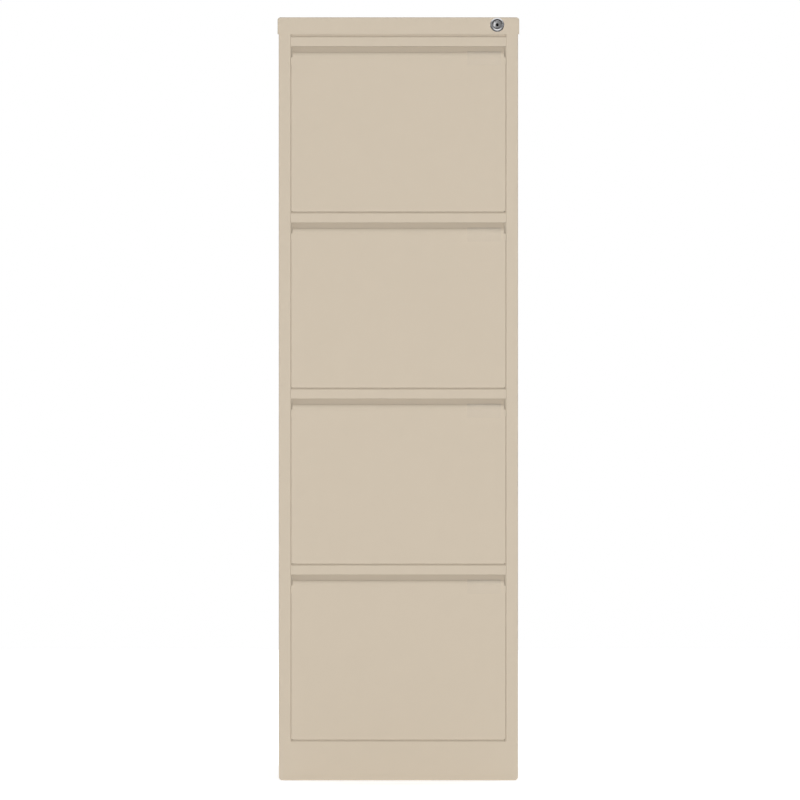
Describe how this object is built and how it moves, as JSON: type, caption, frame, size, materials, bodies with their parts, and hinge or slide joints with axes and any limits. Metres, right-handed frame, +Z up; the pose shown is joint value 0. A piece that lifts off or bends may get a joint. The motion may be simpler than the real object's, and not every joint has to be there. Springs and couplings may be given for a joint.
{
  "type": "hanging file cabinet",
  "caption": "Free-standing steel filing cabinet with full-extension hanging-file drawers, rolled grip lips, label holders and a key lock.",
  "frame": {"origin": "on the floor, under the middle of the cabinet", "axes": "+X to the right as seen from the front, front faces -Y, +Z up"},
  "size_m": [0.418, 0.625, 1.321],
  "materials": {
    "painted_steel": "fine-textured satin powder coat, warm beige",
    "zinc_plated_steel": "bright zinc plating",
    "chrome": "polished chrome",
    "clear_plastic": "clear glossy plastic",
    "rubber": "matt black rubber",
    "black_plastic": "matt black plastic"
  },
  "bodies": {
    "cabinet": {"side_panel_left": "painted_steel", "side_panel_right": "painted_steel", "back_panel": "painted_steel", "base_panel": "painted_steel", "plinth_panel": "painted_steel", "top_cap": "painted_steel", "slide_post_front_left": "painted_steel", "slide_post_front_right": "painted_steel", "slide_post_rear_left": "painted_steel", "slide_post_rear_right": "painted_steel", "front_rail_1": "painted_steel", "front_rail_2": "painted_steel", "front_rail_3": "painted_steel", "front_rail_4": "painted_steel", "slides_outer_1": "zinc_plated_steel", "slides_outer_2": "zinc_plated_steel", "slides_outer_3": "zinc_plated_steel", "slides_outer_4": "zinc_plated_steel", "slide_buffers": "rubber", "lock_housing": "chrome", "lock_nut": "zinc_plated_steel", "lock_bar_guides": "black_plastic", "levelling_feet": "black_plastic", "foot_nuts": "zinc_plated_steel"},
    "lock_cylinder": {"lock_plug": "chrome", "lock_crank": "zinc_plated_steel"},
    "lock_bar": {"lock_bar": "zinc_plated_steel", "lock_bar_arms": "zinc_plated_steel"},
    "drawer_1": {"drawer_1_front": "painted_steel", "drawer_1_liner": "painted_steel", "drawer_1_tray": "painted_steel", "drawer_1_file_rails": "zinc_plated_steel", "drawer_1_label_holder": "clear_plastic", "drawer_1_lock_catch": "zinc_plated_steel", "drawer_1_slides_inner": "zinc_plated_steel"},
    "slides_1": {"slides_middle_1": "zinc_plated_steel"},
    "drawer_2": {"drawer_2_front": "painted_steel", "drawer_2_liner": "painted_steel", "drawer_2_tray": "painted_steel", "drawer_2_file_rails": "zinc_plated_steel", "drawer_2_label_holder": "clear_plastic", "drawer_2_lock_catch": "zinc_plated_steel", "drawer_2_slides_inner": "zinc_plated_steel"},
    "slides_2": {"slides_middle_2": "zinc_plated_steel"},
    "drawer_3": {"drawer_3_front": "painted_steel", "drawer_3_liner": "painted_steel", "drawer_3_tray": "painted_steel", "drawer_3_file_rails": "zinc_plated_steel", "drawer_3_label_holder": "clear_plastic", "drawer_3_lock_catch": "zinc_plated_steel", "drawer_3_slides_inner": "zinc_plated_steel"},
    "slides_3": {"slides_middle_3": "zinc_plated_steel"},
    "drawer_4": {"drawer_4_front": "painted_steel", "drawer_4_liner": "painted_steel", "drawer_4_tray": "painted_steel", "drawer_4_file_rails": "zinc_plated_steel", "drawer_4_label_holder": "clear_plastic", "drawer_4_lock_catch": "zinc_plated_steel", "drawer_4_slides_inner": "zinc_plated_steel"},
    "slides_4": {"slides_middle_4": "zinc_plated_steel"}
  },
  "joints": [
    {"name": "drawer_1_slide", "type": "slide", "parent": "cabinet", "child": "drawer_1", "axis": [0, -1, 0], "range_m": [0, 0.53]},
    {"name": "slides_1_follow", "type": "slide", "parent": "cabinet", "child": "slides_1", "axis": [0, -1, 0], "range_m": [0, 0.265]},
    {"name": "drawer_2_slide", "type": "slide", "parent": "cabinet", "child": "drawer_2", "axis": [0, -1, 0], "range_m": [0, 0.53]},
    {"name": "slides_2_follow", "type": "slide", "parent": "cabinet", "child": "slides_2", "axis": [0, -1, 0], "range_m": [0, 0.265]},
    {"name": "drawer_3_slide", "type": "slide", "parent": "cabinet", "child": "drawer_3", "axis": [0, -1, 0], "range_m": [0, 0.53]},
    {"name": "slides_3_follow", "type": "slide", "parent": "cabinet", "child": "slides_3", "axis": [0, -1, 0], "range_m": [0, 0.265]},
    {"name": "drawer_4_slide", "type": "slide", "parent": "cabinet", "child": "drawer_4", "axis": [0, -1, 0], "range_m": [0, 0.53]},
    {"name": "slides_4_follow", "type": "slide", "parent": "cabinet", "child": "slides_4", "axis": [0, -1, 0], "range_m": [0, 0.265]},
    {"name": "key_turn", "type": "hinge", "parent": "cabinet", "child": "lock_cylinder", "pos_m": [0.1709, -0.311, 1.308], "axis": [0, 1, 0], "range_deg": [0, 90]},
    {"name": "lock_bar_lift", "type": "slide", "parent": "cabinet", "child": "lock_bar", "axis": [0, 0, 1], "range_m": [0, 0.01131]}
  ],
  "couplings": [
    {"joint": "slides_1_follow", "follows": "drawer_1_slide", "ratio": 0.5},
    {"joint": "slides_2_follow", "follows": "drawer_2_slide", "ratio": 0.5},
    {"joint": "slides_3_follow", "follows": "drawer_3_slide", "ratio": 0.5},
    {"joint": "slides_4_follow", "follows": "drawer_4_slide", "ratio": 0.5},
    {"joint": "key_turn", "follows": "lock_bar_lift", "rad_per_m": 138.84}
  ]
}
